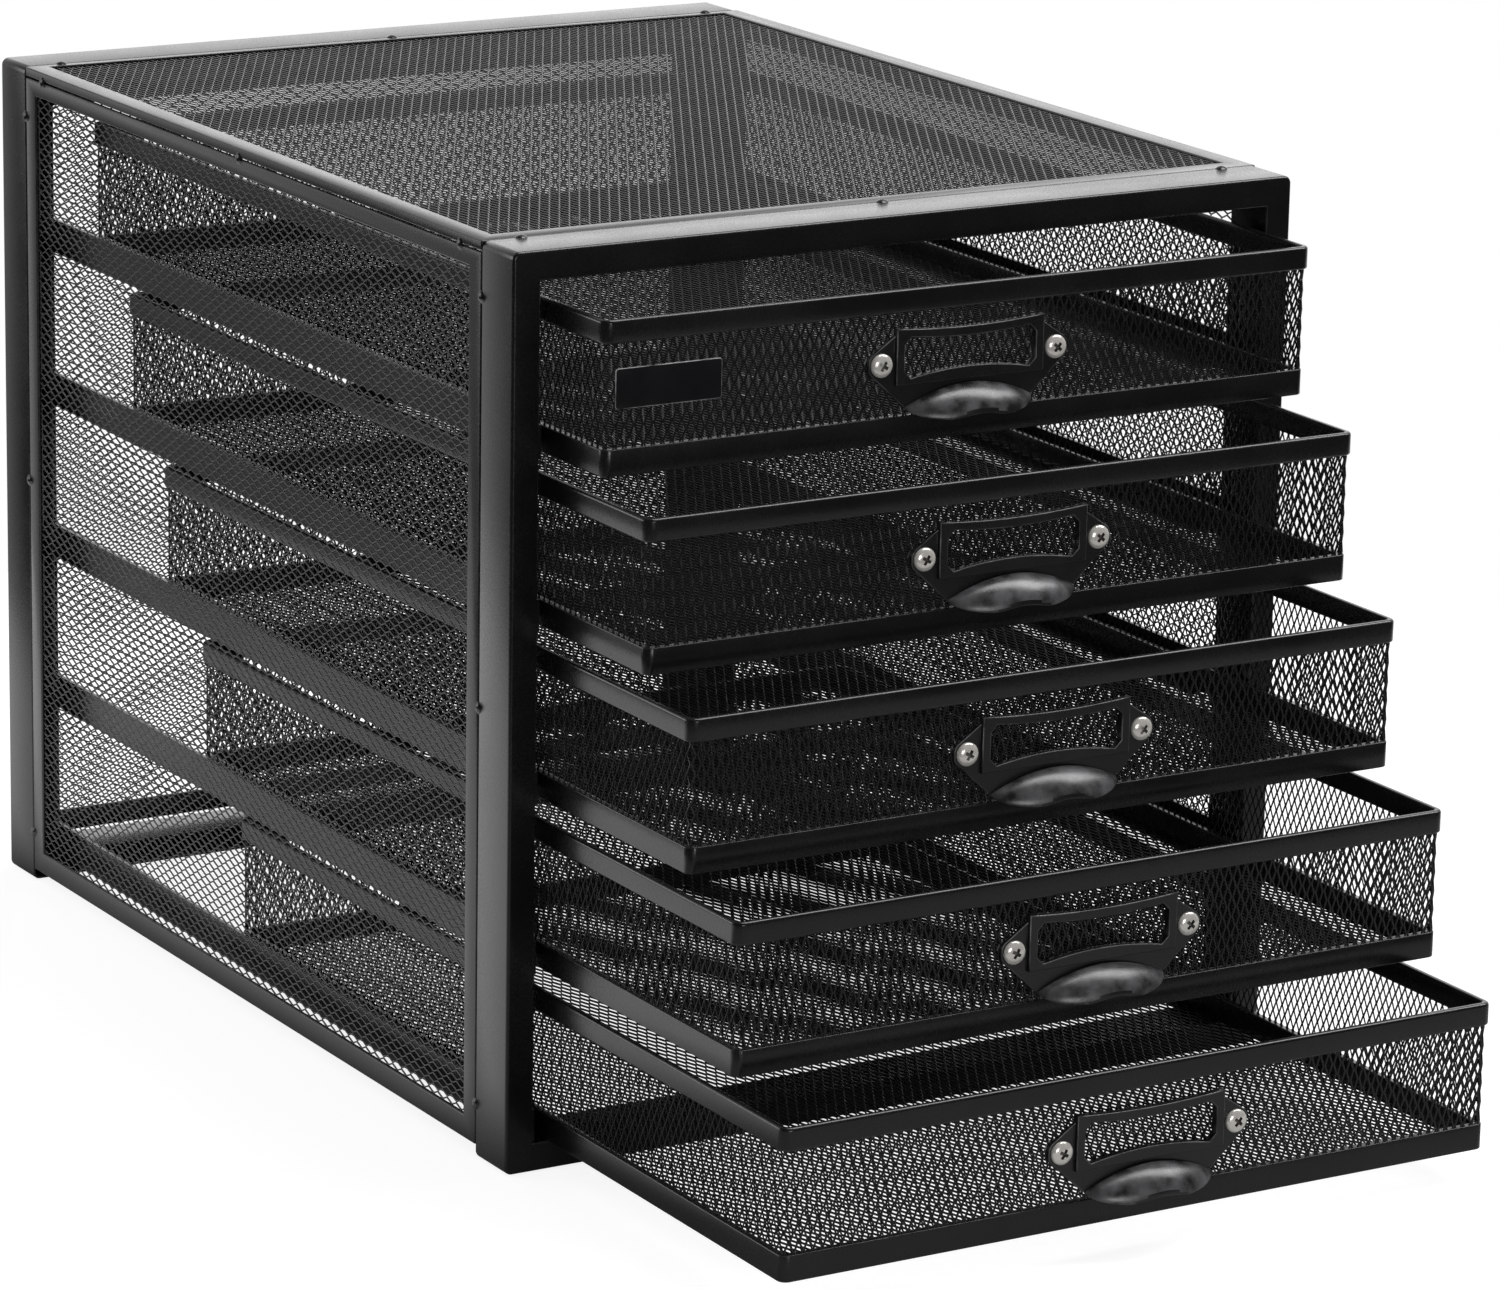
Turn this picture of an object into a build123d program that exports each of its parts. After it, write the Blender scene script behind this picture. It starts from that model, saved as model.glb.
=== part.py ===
from build123d import *
from math import asin, degrees
import os

# Desktop drawer cabinet: two steel ring frames joined by bordered mesh panels,
# with five mesh drawers that slide on L-section runners.
# Millimetres, +Z up. The drawer fronts face -Y and the cabinet's left side is at -X.
# The origin is on the table, in the middle of the footprint with the drawers as drawn.

# ---------------------------------------------------------------- driving dimensions
cabinet_width = 272.0
cabinet_depth = 355.0
cabinet_height = 280.0

# ring frames, folded from sheet
frame_face = 9.0            # width of the ring as seen from the front
frame_depth = 19.0
frame_wall = 1.0
frame_corner_radius = 2.4
frame_edge_radius = 1.0

# panels: a folded border strip round a sheet of expanded metal
border_width = 7.5
border_thickness = 1.6
mesh_thickness = 0.8
mesh_openings = 12          # a plain grid of openings each way stands for the mesh
mesh_bar = 6.0              # between two openings of that grid
seam_gap = 0.5              # thin slot between a panel and its frame
panel_foot = 4.0            # height of the side panels' lower edge above the table
top_fold_height = 3.0       # the top panel's edge folded down along each side
top_fold_thickness = 1.0
top_rear_strip = 3.0        # the top panel's narrow strip at the rear seam
back_panel_setback = 2.9    # from the rear frame's outer face
back_panel_fit = 0.3        # round the back panel, inside the rear frame
back_panel_lift = 2.0       # slot of light below the back panel

# weld beads across the seams
bead_radius = 1.9
bead_height = 0.8
bead_end_distance = 13.0    # from a seam's end to its first bead

# runners
runner_thickness = 1.2
runner_flange_height = 10.0
runner_ledge_width = 9.0
runner_tab_end = 1.0        # the flange's tab stops this short of the frame's outer face
running_clearance = 0.2     # between a drawer and the ledge that it slides on

# drawers
drawer_count = 5
drawer_gap = 6.3            # between a drawer's underside and the next rim below it
drawer_side_clearance = 4.0
drawer_top_clearance = 6.4
drawer_floor_clearance = 0.4
drawer_rear_clearance = 7.5
drawer_corner_radius = 3.4
rim_height = 7.0
rim_thickness = 2.4
rim_round = 1.0
band_height = 8.0
band_inset = 0.6            # the band stands this far inside the rim's outline
wall_inset = 0.8            # the mesh wall stands this far inside the rim's outline
floor_lift = 1.0            # the floor's underside above the band's lower edge
pulled_out = [30.1, 56.2, 82.0, 109.8, 137.6]

# handle: plate with ears, label holder and finger pull, in one moulding
handle_drop = 21.8          # from the rim's top to the line of the screws
plate_thickness = 1.4
holder_half_width = 25.6
holder_top = 10.6           # at the ends; its upper edge dips in the middle
holder_dip = 1.2
holder_bottom = 6.4
holder_rise = 1.2           # the holder's frame stands this far off the plate
holder_side = 2.8           # from the window's end to the holder's
window_top = 7.8
window_bottom = 4.6
window_corner = 2.2
window_bow = 2.0            # the window's lower edge curves up this much
screw_offset = 4.7          # from the holder's end to a screw's centre
ear_root = 8.4              # where an ear meets the holder, above the screws
ear_reach = 4.2             # past the screw's centre
ear_tip_half_height = 2.2
pull_half_width = 22.6
pull_drop = 13.4            # from the line of the screws to the pull's tips
pull_rise = 6.2             # from the tips to the top of the pull
pull_lip = 2.6              # from the tips down to the pull's lip
pull_depth = 9.0
pull_wall = 1.4

# screws and nuts
screw_radius = 1.5
screw_head_radius = 3.5
screw_head_height = 1.8
screw_hole_clearance = 0.15
nut_across_flats = 5.5
nut_thickness = 2.2
nut_thread_clearance = 0.03
screw_tail = 1.0            # the screw's end beyond its nut

# bare plate on the first drawer
name_plate_width = 35.3
name_plate_height = 12.0
name_plate_thickness = 0.8
name_plate_margin = 4.0     # from the rim's left end
name_plate_drop = 14.2      # from the rim's top
name_plate_corner = 1.0

# ---------------------------------------------------------------- worked out from them
half_width = cabinet_width / 2
opening_half = half_width - frame_face
pull_reach = plate_thickness + pull_depth - wall_inset     # ahead of a drawer's front
cabinet_back = (cabinet_depth + max(pulled_out) + pull_reach) / 2
cabinet_front = cabinet_back - cabinet_depth
front_seam = cabinet_front + frame_depth
rear_seam = cabinet_back - frame_depth
opening_top = cabinet_height - frame_face
back_panel_front = cabinet_back - back_panel_setback - border_thickness

panel_front = front_seam + seam_gap
panel_rear = rear_seam - seam_gap
panel_length = panel_rear - panel_front
panel_middle = (panel_rear + panel_front) / 2
side_panel_top = cabinet_height - top_fold_height - seam_gap
side_panel_height = side_panel_top - panel_foot

drawer_width = 2 * (opening_half - drawer_side_clearance)
drawer_depth = back_panel_front - drawer_rear_clearance - cabinet_front
first_rim_top = opening_top - drawer_top_clearance
last_bottom = frame_face + drawer_floor_clearance
drawer_pitch = (first_rim_top - last_bottom + drawer_gap) / drawer_count
drawer_height = drawer_pitch - drawer_gap
wall_corner_radius = drawer_corner_radius - wall_inset
window_half_width = holder_half_width - holder_side
screw_spacing = 2 * (holder_half_width + screw_offset)
handle_reach = screw_spacing / 2 + ear_reach
screw_head_sphere = (screw_head_radius ** 2 + screw_head_height ** 2) / (2 * screw_head_height)
screw_head_latitude = degrees(asin((screw_head_sphere - screw_head_height) / screw_head_sphere))

os.makedirs("parts", exist_ok=True)


def mesh_grid(length, width):
    """The openings of a sheet of mesh of that size, as a sketch about its middle."""
    pitch_along = length / mesh_openings
    pitch_across = width / mesh_openings
    with BuildSketch() as openings:
        with GridLocations(pitch_along, pitch_across, mesh_openings, mesh_openings):
            Rectangle(pitch_along - mesh_bar, pitch_across - mesh_bar)
    return openings.sketch


# ---------------------------------------------------------------- ring frames
# Each ring is a channel whose open side faces into the cabinet.
for ring_name, outer_face, inward in (("front", cabinet_front, 1), ("rear", cabinet_back, -1)):
    with BuildPart() as ring:
        with BuildSketch(Plane.XZ.offset(-outer_face)):
            with Locations((0, cabinet_height / 2)):
                RectangleRounded(cabinet_width, cabinet_height, frame_corner_radius)
        extrude(amount=-inward * frame_depth)
        outer_side = ring.faces().filter_by(Axis.Y).sort_by(Axis.Y)[0 if inward > 0 else -1]
        fillet(outer_side.edges(), radius=frame_edge_radius)
        with BuildSketch(Plane.XZ.offset(-outer_face)):
            with Locations((0, cabinet_height / 2)):
                Rectangle(2 * opening_half, cabinet_height - 2 * frame_face)
        extrude(amount=-inward * frame_depth, mode=Mode.SUBTRACT)
        with BuildSketch(Plane.XZ.offset(-outer_face - inward * frame_wall)):
            with Locations((0, cabinet_height / 2)):
                RectangleRounded(cabinet_width - 2 * frame_wall, cabinet_height - 2 * frame_wall,
                                 frame_corner_radius - frame_wall)
                Rectangle(2 * (opening_half + frame_wall), cabinet_height - 2 * (frame_face - frame_wall),
                          mode=Mode.SUBTRACT)
        extrude(amount=-inward * frame_depth, mode=Mode.SUBTRACT)
    ring.part.label = f"{ring_name}_frame"
    export_step(ring.part, f"parts/{ring.part.label}.step")

# ---------------------------------------------------------------- side panels
for side_name, side in (("left", -1), ("right", 1)):
    outer_x = side * half_width
    side_plane = Plane(origin=(outer_x, panel_middle, panel_foot + side_panel_height / 2),
                       x_dir=(0, 1, 0), z_dir=(-side, 0, 0))
    mesh_plane = side_plane.offset((border_thickness - mesh_thickness) / 2)

    with BuildPart() as side_border:
        with BuildSketch(side_plane):
            Rectangle(panel_length, side_panel_height)
            Rectangle(panel_length - 2 * border_width, side_panel_height - 2 * border_width,
                      mode=Mode.SUBTRACT)
        extrude(amount=border_thickness)
    side_border.part.label = f"{side_name}_panel_border"
    export_step(side_border.part, f"parts/{side_border.part.label}.step")

    side_mesh_length = panel_length - 2 * border_width
    side_mesh_height = side_panel_height - 2 * border_width
    with BuildPart() as side_mesh:
        with BuildSketch(mesh_plane):
            Rectangle(side_mesh_length, side_mesh_height)
            add(mesh_grid(side_mesh_length, side_mesh_height), mode=Mode.SUBTRACT)
        extrude(amount=mesh_thickness)
    side_mesh.part.label = f"{side_name}_panel_mesh"
    export_step(side_mesh.part, f"parts/{side_mesh.part.label}.step")

# ---------------------------------------------------------------- top panel
top_mesh_length = panel_length - border_width - top_rear_strip
top_mesh_middle = panel_middle + (border_width - top_rear_strip) / 2
top_mesh_width = cabinet_width - 2 * border_width

with BuildPart() as top_border:
    with BuildSketch(Plane.XY.offset(cabinet_height - border_thickness)):
        with Locations((0, panel_middle)):
            Rectangle(cabinet_width, panel_length)
        with Locations((0, top_mesh_middle)):
            Rectangle(top_mesh_width, top_mesh_length, mode=Mode.SUBTRACT)
    extrude(amount=border_thickness)
    fold_offset = half_width - top_fold_thickness / 2
    with BuildSketch(Plane.XY.offset(cabinet_height - top_fold_height)):
        with Locations((-fold_offset, panel_middle), (fold_offset, panel_middle)):
            Rectangle(top_fold_thickness, panel_length)
    extrude(amount=top_fold_height)
top_border.part.label = "top_panel_border"
export_step(top_border.part, f"parts/{top_border.part.label}.step")

with BuildPart() as top_mesh:
    with BuildSketch(Plane.XY.offset(cabinet_height - (border_thickness + mesh_thickness) / 2)):
        with Locations((0, top_mesh_middle)):
            Rectangle(top_mesh_width, top_mesh_length)
            add(mesh_grid(top_mesh_width, top_mesh_length), mode=Mode.SUBTRACT)
    extrude(amount=mesh_thickness)
top_mesh.part.label = "top_panel_mesh"
export_step(top_mesh.part, f"parts/{top_mesh.part.label}.step")

# ---------------------------------------------------------------- back panel
back_width = 2 * (opening_half - back_panel_fit)
back_bottom = frame_face + back_panel_lift
back_top = opening_top - back_panel_fit
back_height = back_top - back_bottom
back_middle = (back_top + back_bottom) / 2
back_mesh_width = back_width - 2 * border_width
back_mesh_height = back_height - 2 * border_width

with BuildPart() as back_border:
    with BuildSketch(Plane.XZ.offset(-back_panel_front)):
        with Locations((0, back_middle)):
            Rectangle(back_width, back_height)
            Rectangle(back_width - 2 * border_width, back_height - 2 * border_width,
                      mode=Mode.SUBTRACT)
    extrude(amount=-border_thickness)
back_border.part.label = "back_panel_border"
export_step(back_border.part, f"parts/{back_border.part.label}.step")

with BuildPart() as back_mesh:
    with BuildSketch(Plane.XZ.offset(-back_panel_front - (border_thickness - mesh_thickness) / 2)):
        with Locations((0, back_middle)):
            Rectangle(back_mesh_width, back_mesh_height)
            add(mesh_grid(back_mesh_width, back_mesh_height), mode=Mode.SUBTRACT)
    extrude(amount=-mesh_thickness)
back_mesh.part.label = "back_panel_mesh"
export_step(back_mesh.part, f"parts/{back_mesh.part.label}.step")

# ---------------------------------------------------------------- weld beads
# Shallow domes that lie on both sides of a seam.
bead_sphere = (bead_radius ** 2 + bead_height ** 2) / (2 * bead_height)
bead_latitude = degrees(asin((bead_sphere - bead_height) / bead_sphere))
bead_places = []
for seam_y in (front_seam + seam_gap / 2, rear_seam - seam_gap / 2):
    for height in (panel_foot + bead_end_distance, cabinet_height / 2, side_panel_top - bead_end_distance):
        for side in (-1, 1):
            bead_places.append(Plane(origin=(side * half_width, seam_y, height), z_dir=(side, 0, 0)))
    for across in (-1, 0, 1):
        bead_x = across * (half_width - bead_end_distance)
        bead_places.append(Plane(origin=(bead_x, seam_y, cabinet_height), z_dir=(0, 0, 1)))
for along in (-1, 0, 1):
    bead_y = panel_middle + along * (panel_length / 2 - bead_end_distance)
    for side in (-1, 1):
        bead_places.append(Plane(origin=(side * half_width, bead_y, side_panel_top + seam_gap / 2),
                                 z_dir=(side, 0, 0)))

with BuildPart() as weld_beads:
    with Locations(*bead_places):
        Sphere(bead_sphere, arc_size1=bead_latitude, align=(Align.CENTER, Align.CENTER, Align.MIN))
weld_beads.part.label = "weld_beads"
export_step(weld_beads.part, f"parts/{weld_beads.part.label}.step")

# ---------------------------------------------------------------- runners
for number in range(1, drawer_count + 1):
    drawer_bottom = first_rim_top - drawer_height - (number - 1) * drawer_pitch
    ledge_top = drawer_bottom - running_clearance
    for side_name, side in (("left", -1), ("right", 1)):
        with BuildPart() as runner:
            with BuildSketch(Plane.XZ.offset(-front_seam)):
                with BuildLine():
                    Polyline((side * opening_half, ledge_top - runner_thickness),
                             (side * opening_half, ledge_top + runner_flange_height),
                             (side * (opening_half - runner_thickness), ledge_top + runner_flange_height),
                             (side * (opening_half - runner_thickness), ledge_top),
                             (side * (opening_half - runner_ledge_width), ledge_top),
                             (side * (opening_half - runner_ledge_width), ledge_top - runner_thickness),
                             close=True)
                make_face()
            extrude(amount=-(rear_seam - front_seam))
            # the flange runs on into both frames, where it is welded to their inner faces
            tab_front = cabinet_front + runner_tab_end
            tab_rear = back_panel_front - runner_tab_end
            with BuildSketch(Plane.XZ.offset(-tab_front)):
                with Locations((side * (opening_half - runner_thickness / 2),
                                ledge_top + runner_flange_height / 2)):
                    Rectangle(runner_thickness, runner_flange_height)
            extrude(amount=-(tab_rear - tab_front))
        runner.part.label = f"{side_name}_runner_{number}"
        export_step(runner.part, f"parts/{runner.part.label}.step")

# ---------------------------------------------------------------- drawers
band_thickness = rim_thickness
band_width = drawer_width - 2 * band_inset
band_depth = drawer_depth - 2 * band_inset
band_corner_radius = drawer_corner_radius - band_inset
floor_width = band_width - 2 * band_thickness
floor_depth = band_depth - 2 * band_thickness
wall_width = drawer_width - 2 * wall_inset
wall_depth = drawer_depth - 2 * wall_inset
screw_hole_radius = screw_radius + screw_hole_clearance


def rounded_ring(height, width, depth, radius, thickness, middle):
    """A rounded rectangular sketch ring, on the level at the given height."""
    with BuildSketch(Plane.XY.offset(height)) as ring:
        with Locations((0, middle)):
            RectangleRounded(width, depth, radius)
            RectangleRounded(width - 2 * thickness, depth - 2 * thickness, radius - thickness,
                             mode=Mode.SUBTRACT)
    return ring.sketch


def spindle(reach, rise, depth):
    """A lemon-shaped solid along X, stretched along Y."""
    with BuildPart() as lemon:
        with BuildSketch(Plane.XZ):
            with BuildLine():
                ThreePointArc((-reach, 0), (0, rise), (reach, 0))
                Line((reach, 0), (-reach, 0))
            make_face()
        revolve(axis=Axis.X)
        scale(by=(1, depth / rise, 1))
    return lemon.part


# the finger pull, a hood that is open below, with its tips on the X axis
with BuildPart() as pull:
    add(spindle(pull_half_width, pull_rise, pull_depth))
    add(spindle(pull_half_width - pull_wall, pull_rise - pull_wall, pull_depth - pull_wall),
        mode=Mode.SUBTRACT)
    with Locations((0, 0, -pull_lip)):
        Box(2 * pull_half_width, pull_depth, pull_lip + pull_rise,
            align=(Align.CENTER, Align.MAX, Align.MIN), mode=Mode.INTERSECT)

for number in range(1, drawer_count + 1):
    drawer_front = cabinet_front - pulled_out[number - 1]
    drawer_middle = drawer_front + drawer_depth / 2
    rim_top = first_rim_top - (number - 1) * drawer_pitch
    drawer_bottom = rim_top - drawer_height
    wall_bottom = drawer_bottom + band_height
    wall_top = rim_top - rim_height
    wall_face = drawer_front + wall_inset
    screw_line = rim_top - handle_drop

    with BuildPart() as rim:
        add(rounded_ring(wall_top, drawer_width, drawer_depth, drawer_corner_radius,
                         rim_thickness, drawer_middle))
        extrude(amount=rim_height)
        fillet(rim.faces().sort_by(Axis.Z)[-1].edges(), radius=rim_round)
    rim.part.label = f"drawer_{number}_rim"
    export_step(rim.part, f"parts/{rim.part.label}.step")

    # the walls' front is drilled for the handle's screws
    with BuildPart() as walls:
        add(rounded_ring(wall_bottom, wall_width, wall_depth, wall_corner_radius,
                         mesh_thickness, drawer_middle))
        extrude(amount=wall_top - wall_bottom)
        with BuildSketch(Plane.XZ.offset(-wall_face)):
            with Locations((0, screw_line)):
                with GridLocations(screw_spacing, 1, 2, 1):
                    Circle(screw_hole_radius)
        extrude(amount=-mesh_thickness, mode=Mode.SUBTRACT)
    walls.part.label = f"drawer_{number}_walls"
    export_step(walls.part, f"parts/{walls.part.label}.step")

    with BuildPart() as band:
        add(rounded_ring(drawer_bottom, band_width, band_depth, band_corner_radius,
                         band_thickness, drawer_middle))
        extrude(amount=band_height)
    band.part.label = f"drawer_{number}_band"
    export_step(band.part, f"parts/{band.part.label}.step")

    with BuildPart() as floor:
        with BuildSketch(Plane.XY.offset(drawer_bottom + floor_lift)):
            with Locations((0, drawer_middle)):
                RectangleRounded(floor_width, floor_depth, band_corner_radius - band_thickness)
                add(mesh_grid(floor_width, floor_depth), mode=Mode.SUBTRACT)
        extrude(amount=mesh_thickness)
    floor.part.label = f"drawer_{number}_floor"
    export_step(floor.part, f"parts/{floor.part.label}.step")

    # handle, in a plane on the wall's face whose origin lies midway between the screws
    handle_plane = Plane(origin=(0, wall_face, screw_line), x_dir=(1, 0, 0), z_dir=(0, -1, 0))
    with BuildPart() as handle:
        with BuildSketch(handle_plane):
            with BuildLine():
                ThreePointArc((-holder_half_width, holder_top), (0, holder_top - holder_dip),
                              (holder_half_width, holder_top))
                Polyline((holder_half_width, holder_top), (holder_half_width, ear_root),
                         (handle_reach, ear_tip_half_height), (handle_reach, -ear_tip_half_height),
                         (pull_half_width, -pull_drop), (-pull_half_width, -pull_drop),
                         (-handle_reach, -ear_tip_half_height), (-handle_reach, ear_tip_half_height),
                         (-holder_half_width, ear_root), (-holder_half_width, holder_top))
            make_face()
        extrude(amount=plate_thickness)
        with BuildSketch(handle_plane.offset(plate_thickness)):
            with BuildLine():
                ThreePointArc((-holder_half_width, holder_top), (0, holder_top - holder_dip),
                              (holder_half_width, holder_top))
                Polyline((holder_half_width, holder_top), (holder_half_width, -holder_bottom),
                         (-holder_half_width, -holder_bottom), (-holder_half_width, holder_top))
            make_face()
        extrude(amount=holder_rise)
        with BuildSketch(handle_plane):
            window_corner_x = window_half_width - window_corner
            with BuildLine():
                ThreePointArc((-window_corner_x, window_top), (0, window_top - holder_dip),
                              (window_corner_x, window_top))
                Polyline((window_corner_x, window_top), (window_half_width, window_top - window_corner),
                         (window_half_width, window_corner - window_bottom),
                         (window_corner_x, -window_bottom))
                ThreePointArc((window_corner_x, -window_bottom), (0, window_bow - window_bottom),
                              (-window_corner_x, -window_bottom))
                Polyline((-window_corner_x, -window_bottom),
                         (-window_half_width, window_corner - window_bottom),
                         (-window_half_width, window_top - window_corner), (-window_corner_x, window_top))
            make_face()
        extrude(amount=plate_thickness + holder_rise, mode=Mode.SUBTRACT)
        with BuildSketch(handle_plane):
            with GridLocations(screw_spacing, 1, 2, 1):
                Circle(screw_hole_radius)
        extrude(amount=plate_thickness, mode=Mode.SUBTRACT)
        with Locations((0, wall_face - plate_thickness, screw_line - pull_drop)):
            add(pull.part)
    handle.part.label = f"drawer_{number}_handle"
    export_step(handle.part, f"parts/{handle.part.label}.step")

    nut_plane = handle_plane.offset(-mesh_thickness - nut_thickness)
    with BuildPart() as screws:
        with Locations(handle_plane.offset(plate_thickness)):
            with GridLocations(screw_spacing, 1, 2, 1):
                Sphere(screw_head_sphere, arc_size1=screw_head_latitude,
                       align=(Align.CENTER, Align.CENTER, Align.MIN))
        with BuildSketch(nut_plane.offset(-screw_tail)):
            with GridLocations(screw_spacing, 1, 2, 1):
                Circle(screw_radius)
        extrude(amount=screw_tail + nut_thickness + mesh_thickness + plate_thickness)
    screws.part.label = f"drawer_{number}_screws"
    export_step(screws.part, f"parts/{screws.part.label}.step")

    with BuildPart() as nuts:
        with BuildSketch(nut_plane):
            with GridLocations(screw_spacing, 1, 2, 1):
                RegularPolygon(nut_across_flats / 2, 6, major_radius=False)
                Circle(screw_radius + nut_thread_clearance, mode=Mode.SUBTRACT)
        extrude(amount=nut_thickness)
    nuts.part.label = f"drawer_{number}_nuts"
    export_step(nuts.part, f"parts/{nuts.part.label}.step")

# ---------------------------------------------------------------- bare plate on the first drawer
name_plate_x = -drawer_width / 2 + name_plate_margin + name_plate_width / 2
name_plate_z = first_rim_top - name_plate_drop - name_plate_height / 2
name_plate_face = cabinet_front - pulled_out[0] + wall_inset
with BuildPart() as name_plate:
    with BuildSketch(Plane.XZ.offset(-name_plate_face)):
        with Locations((name_plate_x, name_plate_z)):
            RectangleRounded(name_plate_width, name_plate_height, name_plate_corner)
    extrude(amount=name_plate_thickness)
name_plate.part.label = "name_plate"
export_step(name_plate.part, f"parts/{name_plate.part.label}.step")
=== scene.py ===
import bmesh
import bpy
from math import cos, pi, radians, sin
from mathutils import Matrix, Vector


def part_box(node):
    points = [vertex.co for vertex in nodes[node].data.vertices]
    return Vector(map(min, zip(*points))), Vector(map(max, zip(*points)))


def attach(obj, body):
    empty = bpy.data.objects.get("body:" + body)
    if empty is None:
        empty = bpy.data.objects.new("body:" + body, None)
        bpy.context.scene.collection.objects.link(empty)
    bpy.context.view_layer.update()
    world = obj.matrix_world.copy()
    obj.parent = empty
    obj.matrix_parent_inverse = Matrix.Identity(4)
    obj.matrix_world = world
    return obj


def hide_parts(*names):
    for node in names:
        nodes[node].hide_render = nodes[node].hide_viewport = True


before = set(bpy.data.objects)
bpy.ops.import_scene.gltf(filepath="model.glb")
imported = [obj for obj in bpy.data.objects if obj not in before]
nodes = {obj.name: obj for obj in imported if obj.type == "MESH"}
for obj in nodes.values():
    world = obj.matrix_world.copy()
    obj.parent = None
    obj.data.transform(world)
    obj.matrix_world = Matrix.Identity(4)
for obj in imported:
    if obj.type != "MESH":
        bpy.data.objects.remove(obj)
scene = bpy.context.scene
mm = 0.001
drawerNumbers = range(1, 6)


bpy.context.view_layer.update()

# ---- camera, at the photograph's angle
cameraSettings = {"azimuth": -30.893, "elevation": 15.081, "roll": 1.083, "distance": 2.10416,
                  "lens": 155.415, "lookAt": (0, 0.0736, 0.14), "aside": -0.043545, "above": 0.034168}


def addCamera(s):
    azimuth, elevation, roll = (radians(s[key]) for key in ("azimuth", "elevation", "roll"))
    back = Vector((sin(azimuth) * cos(elevation), -cos(azimuth) * cos(elevation), sin(elevation)))
    level = Vector((0, 0, 1)).cross(back).normalized()
    upright = back.cross(level)
    right = level * cos(roll) + upright * sin(roll)
    up = upright * cos(roll) - level * sin(roll)
    place = Vector(s["lookAt"]) + back * s["distance"] - right * s["aside"] - up * s["above"]
    data = bpy.data.cameras.new("camera")
    data.lens = s["lens"]
    data.sensor_width = 36
    data.sensor_fit = "HORIZONTAL"
    data.clip_end = 30
    camera = bpy.data.objects.new("camera", data)
    camera.matrix_world = Matrix.Translation(place) @ Matrix((right, up, back)).transposed().to_4x4()
    scene.collection.objects.link(camera)
    scene.camera = camera


addCamera(cameraSettings)
print("camera ready")

# ---- light, world and floor
studioSettings = {
    "lamps": [
        # name, place, size across, size along, power, looks at
        ("leftSoftbox", (-1.60, 1.30, 0.58), 1.2, 0.9, 9, (0, 0.07, 0.15)),
        ("rearSoftbox", (1.19, 2.06, 0.77), 2.2, 1.0, 5, (0, 0.07, 0.2)),
        ("overheadSoftbox", (0.90, -0.25, 1.75), 0.8, 1.8, 34, (0, 0.0, 0.2)),
        ("cameraSoftbox", (-0.36, -2.45, 0.36), 0.8, 0.6, 10, (0, -0.1, 0.15)),
    ],
    "ambient": 0.42,
    "brightSide": (0.51, 0.85, 0.13),     # a pale screen stands behind the cabinet on its right
    "brightSpan": (0.25, 0.90),     # how nearly a reflection looks that way: darkLevel to brightLevel
    "darkLevel": 0.05, "brightLevel": 0.95,
    "floorRadius": 0.62, "floorSides": 96, "floorDrop": 0.0004,
    "floorGlow": 0.87,
    "floorTone": 0.30,
    "floorSheen": (0.03, 1.0),      # how much of the floor reflections show, under and beside the cabinet
    "floorSheenAlong": (-0.16, -0.03),
    "floorSheenAcross": (0.135, 0.165),
}


def wire(tree, kind, sockets=None, **settings):
    # adds a node, with its settings and its inputs' values or links
    node = tree.nodes.new(kind)
    for name, value in settings.items():
        setattr(node, name, value)
    for socket, value in (sockets or {}).items():
        if isinstance(value, bpy.types.NodeSocket):
            tree.links.new(value, node.inputs[socket])
        else:
            node.inputs[socket].default_value = value
    return node


def seenRays(tree):
    path = wire(tree, "ShaderNodeLightPath")
    either = wire(tree, "ShaderNodeMath", {0: path.outputs["Is Camera Ray"],
                                           1: path.outputs["Is Glossy Ray"]}, operation="MAXIMUM")
    seen = wire(tree, "ShaderNodeMath", {0: either.outputs[0],
                                         1: path.outputs["Is Transmission Ray"]}, operation="MAXIMUM")
    return path, seen.outputs[0]


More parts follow.
